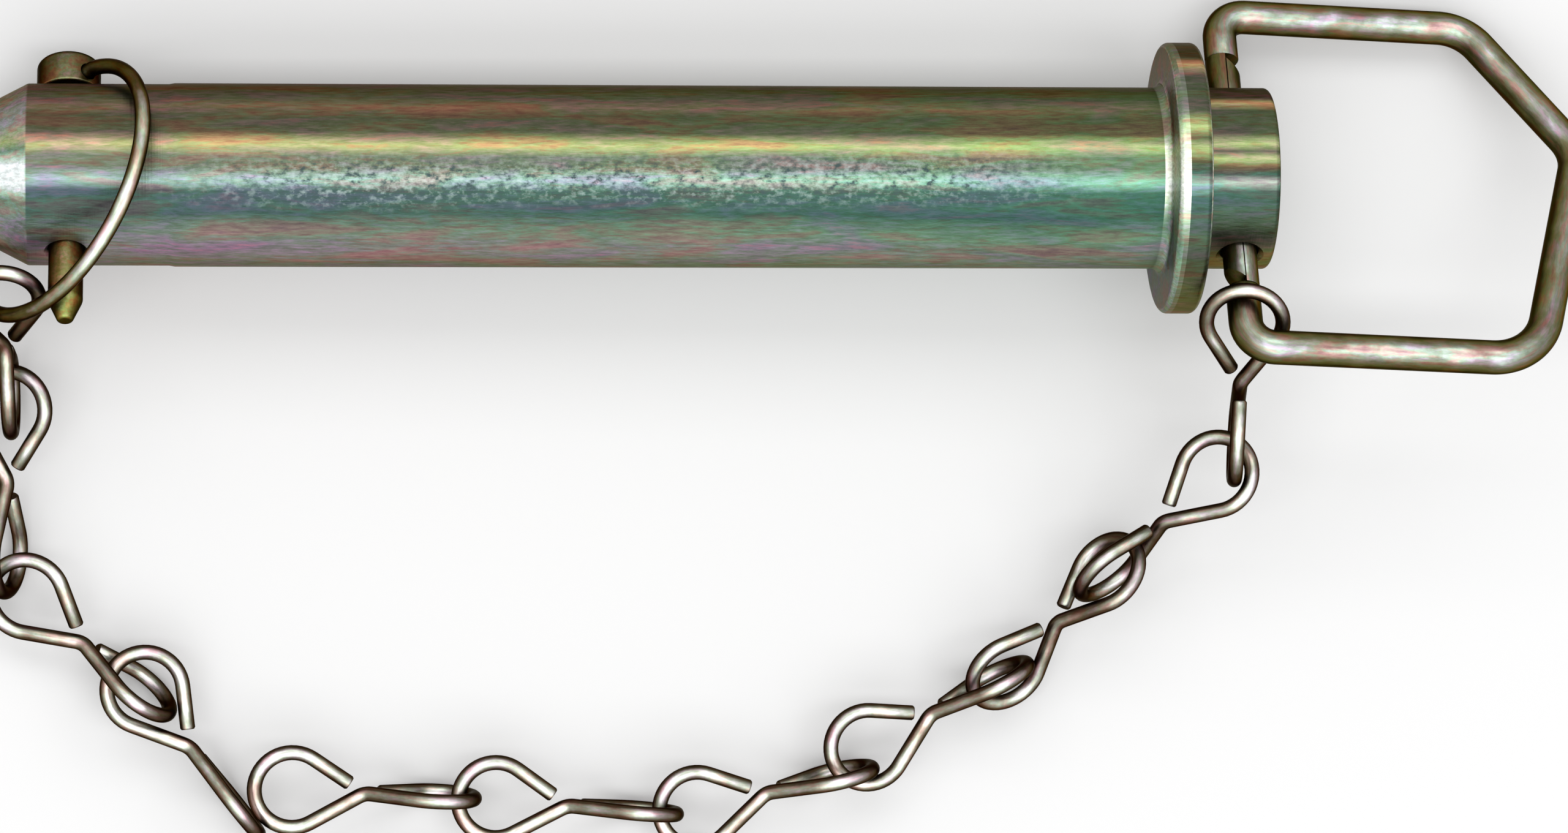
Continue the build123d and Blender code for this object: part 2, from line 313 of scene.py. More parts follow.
def plated(name, patch, speck, film, mottle, bump):
    """A plated metal with its Place and Ground left to be joined up."""
    material = bpy.data.materials.new(name)
    material.use_nodes = True
    tree = material.node_tree
    shader = tree.nodes["Principled BSDF"]
    shader.inputs["Metallic"].default_value = 1.0
    shader.inputs["Specular Tint"].default_value = (0.45, 0.42, 0.36, 1)
    group = tree.nodes.new("ShaderNodeGroup")
    group.node_tree = film_group
    group.inputs["Patch Size"].default_value = patch
    group.inputs["Speck Size"].default_value = speck
    group.inputs["Film"].default_value = film
    group.inputs["Mottle"].default_value = mottle
    coordinates = tree.nodes.new("ShaderNodeTexCoord")
    relief = tree.nodes.new("ShaderNodeBump")
    relief.inputs["Strength"].default_value = bump
    relief.inputs["Distance"].default_value = 0.00012
    tree.links.new(group.outputs["Height"], relief.inputs["Height"])
    tree.links.new(relief.outputs["Normal"], shader.inputs["Normal"])
    tree.links.new(group.outputs["Color"], shader.inputs["Base Color"])
    tree.links.new(group.outputs["Roughness"], shader.inputs["Roughness"])
    return material, tree, shader, group, coordinates, relief


# The shank's colour lies in long bands along it, set by the side of the shank: brown on one side,
# then straw, pale steel green, dark green and a rose run at the bottom. The bands are partly the film's
# colour and partly painted light: the straw and steel-blue lines are painted highlights, and the brown
# and dark green bands are painted dark reflections.
forging, tree, shader, group, coordinates, relief = plated(
    "forging_plate", patch=0.0036, speck=0.0006, film=0.62, mottle=0.6, bump=0.45
)
BATH_L = 0.19
GRIP_MIDDLE = 0.094
# Painted highlight colour for the collar rim and fillet.
EDGE_HIGHLIGHT = (0.80, 0.80, 0.72, 1)
DARK_PIT = (0.045, 0.070, 0.070, 1)
# Pale speck colour: painted glints in the shank's highlight band.
PIT_GLINT = (0.50, 0.60, 0.58, 1)


def drawn_out(tree, place, amount):
    """A place squeezed along the shank, so that a pattern on it runs lengthwise."""
    node = tree.nodes.new("ShaderNodeMapping")
    node.inputs["Scale"].default_value = (amount, 1.0, 1.0)
    tree.links.new(place, node.inputs["Vector"])
    return node.outputs["Vector"]


stretch = drawn_out(tree, coordinates.outputs["Object"], 0.16)
tree.links.new(stretch, group.inputs["Place"])
split = tree.nodes.new("ShaderNodeSeparateXYZ")
tree.links.new(coordinates.outputs["Object"], split.inputs["Vector"])
length_x, side_y = split.outputs["X"], split.outputs["Y"]
lean_z = value_node(tree, "MULTIPLY_ADD", length_x, -pin_x.z, split.outputs["Z"])
across = value_node(tree, "MULTIPLY", side_y, side_y)
radius = value_node(tree, "SQRT", value_node(tree, "MULTIPLY_ADD", lean_z, lean_z, across))
round_pin = value_node(tree, "DIVIDE", side_y, value_node(tree, "MAXIMUM", radius, 0.002))
wander = value_node(tree, "MULTIPLY_ADD", noise(tree, stretch, 45.0, 5.0, 0.65), 0.05, -0.025)
tide = value_node(tree, "MULTIPLY_ADD", noise(tree, length_x, 14.0, 3.0), 0.22, -0.11)
band_place = value_node(tree, "MULTIPLY_ADD", round_pin, -0.5, 0.5)
# The band colours, film colours with painted light in them: the straw, steel-blue and near-white ones
# serve as painted highlights, the brown and dark green ones as painted dark reflections.
BROWN_DARK_REFLECTION = (0.07, 0.05, 0.04)
OLIVE = (0.09, 0.09, 0.06)
COPPER = (0.18, 0.13, 0.09)
BRIGHT_COPPER = (0.50, 0.33, 0.20)
GOLD = (0.22, 0.18, 0.08)
STRAW_HIGHLIGHT = (0.40, 0.38, 0.20)
DRAB = (0.20, 0.21, 0.17)
GREY_GREEN = (0.15, 0.17, 0.14)
DARK_GREEN = (0.05, 0.09, 0.09)
PALE_GREEN = (0.19, 0.24, 0.22)
STEEL_BLUE_HIGHLIGHT = (0.24, 0.34, 0.35)
ROSE = (0.29, 0.25, 0.29)
WHITE_HIGHLIGHT = (0.90, 0.95, 0.95)
bands = colour_ramp(
    tree,
    [
        (0.00, BROWN_DARK_REFLECTION),
        (0.09, OLIVE),
        (0.14, COPPER),
        (0.19, OLIVE),
        (0.28, OLIVE),
        (0.35, STRAW_HIGHLIGHT),
        (0.41, GREY_GREEN),
        (0.47, GREY_GREEN),
        (0.54, STEEL_BLUE_HIGHLIGHT),
        (0.60, DARK_GREEN),
        (0.72, DARK_GREEN),
        (0.82, PALE_GREEN),
        (0.91, ROSE),
        (1.00, DRAB),
    ],
)
low_side = spread(tree, band_place, 0.62, 0.85)
band_shift = value_node(tree, "MULTIPLY_ADD", tide, low_side, wander)
tree.links.new(value_node(tree, "ADD", band_place, band_shift), bands.inputs["Fac"])
# The head has its own bands, narrower and with more contrast: a bright copper line, gold lines, then steel
# blue. The gold and steel-blue lines are painted highlights and the dark bands painted dark reflections,
# over the film's colour.
head_bands = colour_ramp(
    tree,
    [
        (0.00, BROWN_DARK_REFLECTION),
        (0.07, BROWN_DARK_REFLECTION),
        (0.10, BRIGHT_COPPER),
        (0.14, OLIVE),
        (0.27, OLIVE),
        (0.33, STRAW_HIGHLIGHT),
        (0.37, OLIVE),
        (0.41, STRAW_HIGHLIGHT),
        (0.46, OLIVE),
        (0.50, DARK_GREEN),
        (0.54, STEEL_BLUE_HIGHLIGHT),
        (0.59, DARK_GREEN),
        (0.85, OLIVE),
        (1.00, GOLD),
    ],
)
tight_place = value_node(tree, "MULTIPLY_ADD", wander, 0.15, band_place)
tree.links.new(tight_place, head_bands.inputs["Fac"])
on_head = value_node(tree, "GREATER_THAN", length_x, 0.0006)
# It hung a little tip up in the bath, so the film is rosier to the tip and greener to the head.
bath_tint = colour_ramp(
    tree,
    [
        (0.00, (0.59, 0.45, 0.49)),
        (0.30, (0.57, 0.46, 0.48)),
        (0.60, (0.51, 0.50, 0.46)),
        (1.00, (0.44, 0.57, 0.46)),
    ],
)
bath_depth = value_node(tree, "MULTIPLY_ADD", length_x, 1 / BATH_L, 1.0)
tree.links.new(bath_depth, bath_tint.inputs["Fac"])
tinted = mixed(tree, 0.7, bands.outputs["Color"], bath_tint.outputs["Color"], "OVERLAY")
topped = mixed(tree, on_head, tinted, head_bands.outputs["Color"])
# The bevel at the tip has its own bands: a near-white painted highlight in the middle, with pale green and
# rose beside it.
nose_bands = colour_ramp(
    tree,
    [
        (0.00, COPPER),
        (0.22, ROSE),
        (0.32, STRAW_HIGHLIGHT),
        (0.38, PALE_GREEN),
        (0.47, WHITE_HIGHLIGHT),
        (0.58, WHITE_HIGHLIGHT),
        (0.67, PALE_GREEN),
        (0.84, ROSE),
        (1.00, COPPER),
    ],
)
tree.links.new(tight_place, nose_bands.inputs["Fac"])
# Turned end faces take their own colours instead of the bands, changing across the face from one side to
# the other.
normal_split = tree.nodes.new("ShaderNodeSeparateXYZ")
tree.links.new(coordinates.outputs["Normal"], normal_split.inputs["Vector"])
normal_x = normal_split.outputs["X"]
facing_end = value_node(tree, "GREATER_THAN", value_node(tree, "ABSOLUTE", normal_x), 0.85)
facing_tip = spread(tree, normal_x, -0.15, -0.45)
on_nose = value_node(tree, "LESS_THAN", length_x, -0.15)
on_bevel = value_node(tree, "MULTIPLY", facing_tip, on_nose)
cone = mixed(tree, on_bevel, topped, nose_bands.outputs["Color"])
face_bands = colour_ramp(
    tree,
    [
        (0.00, (0.150, 0.100, 0.080)),
        (0.16, (0.320, 0.255, 0.245)),
        (0.36, (0.170, 0.150, 0.110)),
        (0.50, (0.110, 0.130, 0.100)),
        (0.66, (0.170, 0.210, 0.160)),
        (0.84, (0.200, 0.220, 0.240)),
        (1.00, (0.260, 0.200, 0.210)),
    ],
)
face_place = value_node(tree, "MULTIPLY_ADD", side_y, -0.5 / COLLAR_R, 0.5)
tree.links.new(face_place, face_bands.inputs["Fac"])
ends = mixed(tree, facing_end, cone, face_bands.outputs["Color"])
# Painted highlight: a bright glint on the rounded rim of the collar and on the fillet below it, strongest
# along the crown of the shank.
rim_edge = value_node(tree, "COMPARE", radius, COLLAR_R - 0.0003, 0.0005)
seat_edge = value_node(tree, "COMPARE", length_x, 0.0005, 0.0009)
back_edge = value_node(tree, "COMPARE", length_x, COLLAR_T - 0.0004, 0.0005)
rim = value_node(tree, "MULTIPLY", rim_edge, value_node(tree, "MAXIMUM", seat_edge, back_edge))
in_fillet = value_node(tree, "COMPARE", length_x, -0.0011, 0.0007)
edge = value_node(tree, "MAXIMUM", rim, in_fillet)
off_crown = value_node(tree, "ABSOLUTE", value_node(tree, "ADD", round_pin, 0.02))
near_middle = spread(tree, off_crown, 0.55, 0.05, to_low=0.12, way="SMOOTHSTEP")
edge_lit = mixed(tree, value_node(tree, "MULTIPLY", edge, near_middle), ends, EDGE_HIGHLIGHT, "SCREEN")
tree.links.new(edge_lit, group.inputs["Ground"])
# Pits: small dark and pale specks in the middle of the grip, laid only along the crown of the shank where
# its painted steel-blue highlight runs; the pale specks are painted glints in it.
pits = noise(tree, drawn_out(tree, coordinates.outputs["Object"], 0.7), 1000.0, 3.0, 0.62)
drift = noise(tree, stretch, 70.0, 3.0)
off_middle = value_node(tree, "ABSOLUTE", value_node(tree, "ADD", round_pin, 0.05))
pits_in_highlight_band = spread(tree, value_node(tree, "MULTIPLY_ADD", drift, -0.5, off_middle), 0.12, -0.14)
off_grip = value_node(tree, "ABSOLUTE", value_node(tree, "ADD", length_x, GRIP_MIDDLE))
clear_ends = spread(tree, off_grip, 0.092, 0.050, way="SMOOTHSTEP")
pit_mask = value_node(tree, "MULTIPLY", pits_in_highlight_band, clear_ends)
dark_pits = value_node(tree, "MULTIPLY", spread(tree, pits, 0.50, 0.33), pit_mask)
glint_pits = value_node(tree, "MULTIPLY", spread(tree, pits, 0.50, 0.70, to_high=0.36), pit_mask)
darkened = mixed(tree, dark_pits, group.outputs["Color"], DARK_PIT)
speck_glinted = mixed(tree, glint_pits, darkened, PIT_GLINT)
tree.links.new(speck_glinted, shader.inputs["Base Color"])
# Lathe feed marks: a fine ripple along the shank.
feed = noise(tree, length_x, 2600.0, 2.0)
height = value_node(tree, "MULTIPLY_ADD", feed, 0.35, group.outputs["Height"])
tree.links.new(height, relief.inputs["Height"])
shank.data.materials.clear()
shank.data.materials.append(forging)
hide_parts("pin_shank")
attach(shank, "pin")


# --- Handle: one bent wire -----------------------------------------------------------------
# A bail of 6 mm wire, bent to five corners. Each end is half-lapped, flat against the other,
# and both go through the stub's hole to slanted tips that stand proud on the far side.
HANDLE_WIRE = 0.006
HANDLE_HALF_W = 0.0342
HANDLE_SIDE = 0.045
HANDLE_PEAK = 0.0637
HANDLE_PEAK_OFF = 0.0089
HANDLE_HEEL = 0.052
HANDLE_DROOP = radians(5.0)
LAP_LOW = 0.0236
LAP_HIGH = 0.0218
LAP_SHOULDER = 0.0009
LAP_GAP = 0.0001
hole_up = hole_dir.cross(pin_x).normalized()
bail_out = pin_x * cos(HANDLE_DROOP) - hole_up * sin(HANDLE_DROOP)


def bail(out, across_it):
    """A point of the handle's plane, measured from the hinge, towards the low side."""
    return handle_pivot + bail_out * out - hole_dir * across_it


def bent(points, radii, step=0.0006):
    """Points along a wire bent round corners; radii has one entry for each inner corner."""
    path = [Vector(points[0])]
    for i, radius in enumerate(radii, 1):
        here = Vector(points[i])
        back = (Vector(points[i - 1]) - here).normalized()
        ahead = (Vector(points[i + 1]) - here).normalized()
        half = acos(max(-1, min(1, back.dot(ahead)))) / 2
        reach = radius * cos(half) / sin(half)
        centre = here + (back + ahead).normalized() * (radius / sin(half))
        first = here + back * reach - centre
        last = here + ahead * reach - centre
        turns = max(4, int((pi - 2 * half) * radius / step))
        for k in range(turns + 1):
            angle = (pi - 2 * half) * k / turns
            axis = first.cross(last).normalized()
            path.append(centre + Matrix.Rotation(angle, 3, axis) @ first)
    path.append(Vector(points[-1]))
    return path


def wire_tree():
    """Geometry Nodes: sweeps a drawn wire along a path and cuts its ends square with an eased edge."""
    tree = bpy.data.node_groups.new("drawn_wire", "GeometryNodeTree")
    ask = tree.interface.new_socket
    ask(name="Geometry", in_out="INPUT", socket_type="NodeSocketGeometry")
    wire = ask(name="Wire Diameter", in_out="INPUT", socket_type="NodeSocketFloat")
    wire.default_value = 0.003
    ease = ask(name="End Ease", in_out="INPUT", socket_type="NodeSocketFloat")
    ease.default_value = 0.0003
    sides = ask(name="Sides", in_out="INPUT", socket_type="NodeSocketInt")
    sides.default_value = 24
    ask(name="Material", in_out="INPUT", socket_type="NodeSocketMaterial")
    ask(name="Geometry", in_out="OUTPUT", socket_type="NodeSocketGeometry")
    nodes, links = tree.nodes, tree.links
    given = nodes.new("NodeGroupInput")
    put = nodes.new("NodeGroupOutput")
    curve = nodes.new("GeometryNodeMeshToCurve")
    links.new(given.outputs["Geometry"], curve.inputs["Mesh"])
    length = nodes.new("GeometryNodeSplineParameter")
    whole = nodes.new("GeometryNodeSplineLength")

    left = value_node(tree, "SUBTRACT", whole.outputs["Length"], length.outputs["Length"])
    near_end = value_node(tree, "MINIMUM", length.outputs["Length"], left)
    short_of_ease = value_node(tree, "SUBTRACT", given.outputs["End Ease"], near_end)
    shy = value_node(tree, "MULTIPLY", value_node(tree, "MAXIMUM", short_of_ease, 0.0), 0.7)
    half = value_node(tree, "MULTIPLY", given.outputs["Wire Diameter"], 0.5)
    radius = value_node(tree, "SUBTRACT", half, shy)
    keep = nodes.new("GeometryNodeStoreNamedAttribute")
    keep.data_type = "FLOAT"
    keep.domain = "POINT"
    keep.inputs["Name"].default_value = "along"
    links.new(curve.outputs["Curve"], keep.inputs["Geometry"])
    links.new(length.outputs["Length"], keep.inputs["Value"])
    ring = nodes.new("GeometryNodeCurvePrimitiveCircle")
    ring.inputs["Radius"].default_value = 1.0
    links.new(given.outputs["Sides"], ring.inputs["Resolution"])
    around = nodes.new("GeometryNodeStoreNamedAttribute")
    around.data_type = "FLOAT_VECTOR"
    around.domain = "POINT"
    around.inputs["Name"].default_value = "around"
    links.new(ring.outputs["Curve"], around.inputs["Geometry"])
    links.new(nodes.new("GeometryNodeInputPosition").outputs["Position"], around.inputs["Value"])
    sweep = nodes.new("GeometryNodeCurveToMesh")
    sweep.inputs["Fill Caps"].default_value = True
    links.new(keep.outputs["Geometry"], sweep.inputs["Curve"])
    links.new(around.outputs["Geometry"], sweep.inputs["Profile Curve"])
    links.new(radius, sweep.inputs["Scale"])
    dress = nodes.new("GeometryNodeSetMaterial")
    real = nodes.new("GeometryNodeRealizeInstances")
    links.new(sweep.outputs["Mesh"], real.inputs["Geometry"])
    links.new(real.outputs["Geometry"], dress.inputs["Geometry"])
    links.new(given.outputs["Material"], dress.inputs["Material"])
    links.new(dress.outputs["Geometry"], put.inputs["Geometry"])
    return tree


drawn_wire = wire_tree()


def draw_wire(name, path, diameter, material, sides=24, ease=0.0003):
    """A wire piece: its path goes through the Geometry Nodes tree and comes out as a plain mesh."""
    line = bpy.data.meshes.new(name)
    dense = []
    for a, b in zip(path, path[1:]):
        gap = (b - a).length
        cuts = [ease / gap] if gap > 3 * ease and not dense else []
        pieces = max(1, int(gap / 0.004))
        stations = sorted({0.0, *cuts, *[k / pieces for k in range(pieces)]})
        dense += [a.lerp(b, s) for s in stations]
    last = path[-1]
    before = dense[-1]
    gap = (last - before).length
    if gap > 2 * ease:
        dense.append(last.lerp(before, ease / gap))
    dense.append(last)
    line.from_pydata(dense, [(k, k + 1) for k in range(len(dense) - 1)], [])
    piece = bpy.data.objects.new(name, line)
    bpy.context.scene.collection.objects.link(piece)
    sweep = piece.modifiers.new("wire", "NODES")
    sweep.node_group = drawn_wire
    inputs = {s.name: s.identifier for s in drawn_wire.interface.items_tree if s.in_out == "INPUT"}
    sweep[inputs["Wire Diameter"]] = diameter
    sweep[inputs["End Ease"]] = ease
    sweep[inputs["Sides"]] = sides
    sweep[inputs["Material"]] = material
    bpy.context.view_layer.update()
    evaluated = piece.evaluated_get(bpy.context.evaluated_depsgraph_get())
    made = bpy.data.meshes.new_from_object(evaluated)
    piece.modifiers.clear()
    piece.data = made
    smooth(piece, 50)
    return piece


# Wire keeps the die's fine lines along it. Its colour is painted by which way it faces: the sides dark
# brown as painted shade, and the crown, facing up or down, silvery with rose and green as a painted
# highlight, over the film's colour.
def wire_plate(name, tones, patch, film, drawn=True, thick=0.003):
    material, tree, _, group, coordinates, _ = plated(name, patch, 0.0007, film, 0.5, 0.2)
    place = coordinates.outputs["Object"]
    if drawn:
        along = tree.nodes.new("ShaderNodeAttribute")
        along.attribute_name = "along"
        around = tree.nodes.new("ShaderNodeAttribute")
        around.attribute_name = "around"
        apart = tree.nodes.new("ShaderNodeSeparateXYZ")
        tree.links.new(around.outputs["Vector"], apart.inputs["Vector"])
        lines = tree.nodes.new("ShaderNodeCombineXYZ")
        tree.links.new(value_node(tree, "MULTIPLY", along.outputs["Fac"], 0.22), lines.inputs["X"])
        tree.links.new(value_node(tree, "MULTIPLY", apart.outputs["X"], thick), lines.inputs["Y"])
        tree.links.new(value_node(tree, "MULTIPLY", apart.outputs["Y"], thick), lines.inputs["Z"])
        place = lines.outputs["Vector"]
    tree.links.new(place, group.inputs["Place"])
    split = tree.nodes.new("ShaderNodeSeparateXYZ")
    tree.links.new(coordinates.outputs["Normal"], split.inputs["Vector"])
    blotch = noise(tree, coordinates.outputs["Object"], 190.0, 4.0)
    lift = value_node(tree, "MULTIPLY_ADD", blotch, 0.40, -0.20)
    painted_light_level = value_node(tree, "ADD", value_node(tree, "ABSOLUTE", split.outputs["Z"]), lift)
    painted_shading = colour_ramp(tree, tones)
    tree.links.new(painted_light_level, painted_shading.inputs["Fac"])
    tree.links.new(painted_shading.outputs["Color"], group.inputs["Ground"])
    return material, tree, painted_shading, group, coordinates


# Painted shading for the handle wire: dark brown where it faces sideways, silvery where it faces up or
# down.
handle_tones = [
    (0.38, (0.032, 0.024, 0.010)),
    (0.62, (0.115, 0.086, 0.032)),
    (0.80, (0.175, 0.130, 0.090)),
    (0.93, (0.290, 0.250, 0.245)),
    (1.00, (0.520, 0.500, 0.520)),
]
handle_plate = wire_plate("handle_plate", handle_tones, 0.0022, 0.6)[0]
bail_points = [
    bail(0, LAP_LOW + LAP_SHOULDER),
    bail(0, HANDLE_HALF_W),
    bail(HANDLE_SIDE, HANDLE_HALF_W),
    bail(HANDLE_PEAK, HANDLE_PEAK_OFF),
    bail(HANDLE_HEEL, -HANDLE_HALF_W),
    bail(0, -HANDLE_HALF_W),
    bail(0, -LAP_HIGH - LAP_SHOULDER),
]
bail_bends = [0.0048, 0.009, 0.008, 0.011, 0.0048]
handle = draw_wire("handle_bail", bent(bail_points, bail_bends), HANDLE_WIRE, handle_plate, 40, 0.0002)


def lapped_end(name, side, start, end):
    """Half of the wire from one station to another along the hinge line, its tip cut on a slant."""
    bm = bmesh.new()
    along = bm.verts.layers.float.new("along")
    around = bm.verts.layers.float_vector.new("around")
    radius = HANDLE_WIRE / 2
    flat = asin(LAP_GAP / 2 / radius)
    arc = [flat + (pi - 2 * flat) * k / 20 for k in range(21)]
    section = [(side * radius * sin(t), radius * cos(t)) for t in arc]
    third = bail_out.cross(-hole_dir)
    stations = []
    for s, slant in ((start, 0.0), (start * 0.5 + end * 0.5, 0.0), (end, 1.0)):
        ring = []
        for out, aside in section:
            cut = slant * abs(out) * 0.84 * (1 if end > start else -1)
            corner = bm.verts.new(bail(out, s - cut) + third * aside)
            corner[along] = s - cut
            corner[around] = (out / radius, aside / radius, 0)
            ring.append(corner)
        stations.append(ring)
    for a, b in zip(stations, stations[1:]):
        for k in range(len(section)):
            n = (k + 1) % len(section)
            bm.faces.new((a[k], a[n], b[n], b[k]))
    bm.faces.new(stations[0])
    bm.faces.new(stations[-1])
    bmesh.ops.recalc_face_normals(bm, faces=bm.faces)
    sharp = [e for e in bm.edges if e.calc_face_angle(0) > radians(40)]
    bmesh.ops.bevel(bm, geom=sharp, offset=0.00015, segments=2, profile=0.5, affect="EDGES")
    mesh = bpy.data.meshes.new(name)
    bm.to_mesh(mesh)
    bm.free()
    piece = bpy.data.objects.new(name, mesh)
    bpy.context.scene.collection.objects.link(piece)
    piece.data.materials.append(handle_plate)
    smooth(piece, 40)
    return piece


low_leg_end = lapped_end("handle_lap_low", -1, LAP_LOW + LAP_SHOULDER, -LAP_HIGH)
high_leg_end = lapped_end("handle_lap_high", 1, -LAP_HIGH - LAP_SHOULDER, LAP_LOW)
for piece in (handle, low_leg_end, high_leg_end):
    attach(piece, "handle")
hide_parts("handle")


# --- Linch pin ------------------------------------------------------------------------------
# A cold-headed pin: 6 mm shaft with a tapered nose, and a drum head drilled across for the
# ring. Its film is the darkest on the part, brown on the head.
LINCH_R = 0.003
LINCH_TIP = 0.0295
NOSE_L = 0.004
NOSE_R = 0.0013
HEAD_R = 0.00555
HEAD_L = 0.0062
HEAD_CLEAR = 0.0003
HEAD_BASE = SHANK_R + HEAD_CLEAR
EYE_R = 0.00155
linch_centre = pin_x * -SEAT_TO_LINCH
eye = Vector(joints["ring_swing"]["pos_m"])
eye_dir = -Vector(joints["ring_swing"]["axis"]).normalized()
linch_points = [
    (-HEAD_BASE - HEAD_L, 0),
    (-HEAD_BASE - HEAD_L, HEAD_R),
    (-HEAD_BASE, HEAD_R),
    (-HEAD_BASE, LINCH_R),
    (LINCH_TIP - NOSE_L, LINCH_R),
    (LINCH_TIP, NOSE_R),
    (LINCH_TIP, 0),
]
linch_profile = rounded(linch_points, [0, 0.0011, 0.0004, 0.0002, 0.002, 0.0007, 0])
linch = turned("linch_pin_body", linch_profile, along_x(linch_centre, hole_dir), 96)
eye_profile = [(-0.009, 0), (-0.009, EYE_R), (0.009, EYE_R), (0.009, 0)]
eye_bore = turned("eye_bore", eye_profile, along_x(eye, eye_dir), 40)
cut_away(linch, [eye_bore])
smooth(linch)
# Painted shading for the linch pin: near black where it faces sideways, light brown where it faces up or
# down.
linch_tones = [
    (0.30, (0.018, 0.012, 0.007)),
    (0.58, (0.075, 0.038, 0.016)),
    (0.80, (0.190, 0.105, 0.042)),
    (1.00, (0.420, 0.320, 0.190)),
]
linch_plate, tree, painted_shading, group, coordinates = wire_plate(
    "linch_plate", linch_tones, patch=0.0045, film=0.7, drawn=False
)
down_pin = tree.nodes.new("ShaderNodeVectorMath")
down_pin.operation = "DOT_PRODUCT"
tree.links.new(coordinates.outputs["Object"], down_pin.inputs[0])
down_pin.inputs[1].default_value = hole_dir
station = value_node(tree, "SUBTRACT", down_pin.outputs["Value"], linch_centre.dot(hole_dir))
film_place = spread(tree, station, -HEAD_BASE - HEAD_L, LINCH_TIP)
film_along = colour_ramp(
    tree,
    [
        (0.00, (0.50, 0.62, 0.80)),
        (0.10, (0.62, 0.70, 0.84)),
        (0.15, (1.00, 0.96, 0.90)),
        (0.80, (1.00, 0.94, 0.90)),
        (0.90, (0.90, 1.00, 0.72)),
        (1.00, (0.84, 1.00, 0.66)),
    ],
)
tree.links.new(film_place, film_along.inputs["Fac"])
stained = mixed(tree, 1.0, painted_shading.outputs["Color"], film_along.outputs["Color"], "MULTIPLY")
tree.links.new(stained, group.inputs["Ground"])
linch.data.materials.clear()
linch.data.materials.append(linch_plate)
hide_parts("linch_pin")
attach(linch, "linch")


# --- Linch ring -----------------------------------------------------------------------------
# Spring wire bent round to a ring of 44 mm bore. Its two straight ends lie in line inside the
# drum head, a hair apart, and the ring swings about them.
RING_WIRE = 0.0027
RING_R = (0.04445 + RING_WIRE) / 2
RING_STRAIGHT = 0.0068
RING_BEND_R = 0.006
RING_LIFT = radians(5.5)
RING_END_GAP = 0.0005
ring_side = hole_dir.cross(eye_dir)
ring_out = hole_dir * cos(RING_LIFT) + ring_side * sin(RING_LIFT)
ring_mid = eye + ring_out * sqrt(RING_R**2 - RING_STRAIGHT**2)
step_angle = asin(RING_STRAIGHT / RING_R)
bend_reach = RING_BEND_R * (1 - cos(step_angle)) / sin(step_angle)
ring_path = [eye + eye_dir * RING_END_GAP / 2, eye + eye_dir * (RING_STRAIGHT - bend_reach)]
for k in range(1, 6):
    bend = step_angle * k / 6
    swing = RING_BEND_R * sin(bend)
    ring_path.append(ring_path[1] + eye_dir * swing + ring_out * (RING_BEND_R * (1 - cos(bend))))
first_turn = pi - step_angle - bend_reach / RING_R
for k in range(121):
    angle = first_turn - 2 * first_turn * k / 120
    ring_path.append(ring_mid + (ring_out * cos(angle) + eye_dir * sin(angle)) * RING_R)
mirror = [p - eye_dir * (2 * (p - eye).dot(eye_dir)) for p in ring_path[:7]]
ring_path += list(reversed(mirror))
# Painted shading for the ring wire: dark brown where it faces sideways, pale silver where it faces up or
# down.
ring_tones = [
    (0.38, (0.022, 0.013, 0.006)),
    (0.64, (0.110, 0.074, 0.032)),
    (0.84, (0.380, 0.350, 0.300)),
    (1.00, (0.740, 0.740, 0.710)),
]
ring_plate = wire_plate("ring_plate", ring_tones, 0.002, 0.5, thick=0.00135)[0]
ring = draw_wire("linch_ring_wire", ring_path, RING_WIRE, ring_plate, 28, 0.0002)
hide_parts("linch_ring")
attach(ring, "ring")


# --- Chain ----------------------------------------------------------------------------------
# Jack chain: each link is one piece of wire bent to two loops at right angles, its two ends
# left open at the waist. Eleven of them lie hooked through each other from handle to ring.
LINK_WIRE = 0.00267
LINK_L = 0.0413
LINK_LOOP_W = 0.0159
WAIST_R = 0.0032
END_BACK = 0.0031
loop_r = (LINK_LOOP_W - LINK_WIRE) / 2
crown = (LINK_L - LINK_WIRE) / 2
loop_x = crown - loop_r
flare = asin(loop_r / loop_x)
side_l = loop_x * cos(flare)


def loop_point(end, side, reach):
    """A point on one straight side of a loop, measured from the waist."""
    x = end * reach * cos(flare)
    y = side * reach * sin(flare)
    return Vector((x, 0, y)) if end < 0 else Vector((x, y, 0))


def crown_arc(end, side, turns=34):
    """The round of a loop from one side to the other."""
    arc = []
    for k in range(1, turns):
        t = side * (-(pi / 2 + flare) + (pi + 2 * flare) * k / turns)
        x, y = end * (loop_x + loop_r * cos(t)), loop_r * sin(t)
        arc.append(Vector((x, 0, y)) if end < 0 else Vector((x, y, 0)))
    return arc


waist = bent([loop_point(-1, 1, side_l), Vector((0, 0, 0)), loop_point(1, 1, side_l)], [WAIST_R], 0.0004)
link_path = [loop_point(-1, -1, END_BACK), loop_point(-1, -1, side_l)] + crown_arc(-1, 1)
link_path += waist + crown_arc(1, -1) + [loop_point(1, -1, side_l), loop_point(1, -1, END_BACK)]
